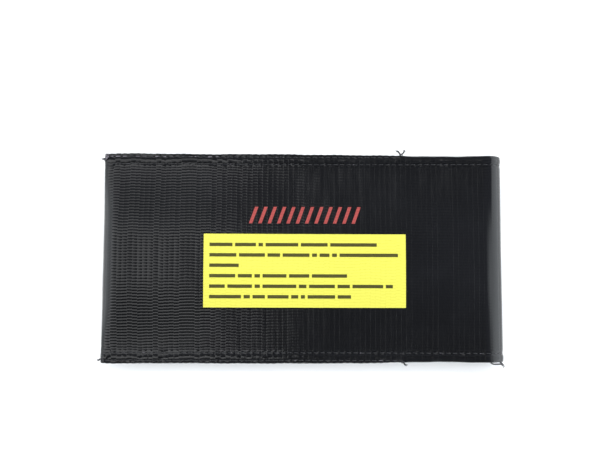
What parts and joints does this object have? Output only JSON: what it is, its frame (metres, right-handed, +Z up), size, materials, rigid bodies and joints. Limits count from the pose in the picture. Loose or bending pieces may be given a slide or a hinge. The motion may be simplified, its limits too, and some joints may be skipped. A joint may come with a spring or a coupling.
{
  "type": "lipo charging pouch",
  "caption": "Flat black fire-resistant cloth pouch for charging a LiPo battery, with a hook-and-loop flap folded underneath and a yellow printed panel.",
  "frame": {"origin": "middle of the closed pouch's footprint, on the surface it lies on", "axes": "+X along the pouch towards the fold of the flap, +Y across it towards the heading, +Z up out of the printed front panel"},
  "size_m": [0.2, 0.105, 0.0121],
  "materials": {
    "cloth": "black PVC-coated woven glass-cloth, semi-gloss",
    "lining": "bare woven glass-cloth, off-white, silky",
    "thread": "black filament sewing thread, shiny",
    "hook": "black nylon hooks",
    "loop": "black brushed nylon loops",
    "label": "yellow screen-print, semi-gloss",
    "ink": "black screen-print",
    "heading": "red screen-print"
  },
  "bodies": {
    "pouch": {"front_cloth": "cloth", "back_cloth": "cloth", "front_lining": "lining", "back_lining": "lining", "loop_tape": "loop", "upper_side_seam_thread": "thread", "lower_side_seam_thread": "thread", "upper_hem_thread": "thread", "lower_hem_thread": "thread", "mouth_thread": "thread", "loop_tape_thread": "thread", "thread_knots": "thread", "label_panel": "label", "label_bars": "ink", "heading_stripes": "heading"},
    "fold": {"fold_cloth": "cloth", "fold_lining": "lining", "upper_fold_thread": "thread", "lower_fold_thread": "thread"},
    "flap": {"flap_cloth": "cloth", "flap_lining": "lining", "hook_tape": "hook", "upper_flap_hem_thread": "thread", "lower_flap_hem_thread": "thread", "flap_end_thread": "thread", "hook_tape_thread": "thread"}
  },
  "joints": [
    {"name": "fold_hinge", "type": "hinge", "parent": "pouch", "child": "fold", "pos_m": [0.09816, 0, 0.01046], "axis": [0, -1, 0], "range_deg": [0, 90]},
    {"name": "flap_hinge", "type": "hinge", "parent": "fold", "child": "flap", "pos_m": [0.09816, 0, 0.00174], "axis": [0, -1, 0], "range_deg": [0, 90]}
  ]
}
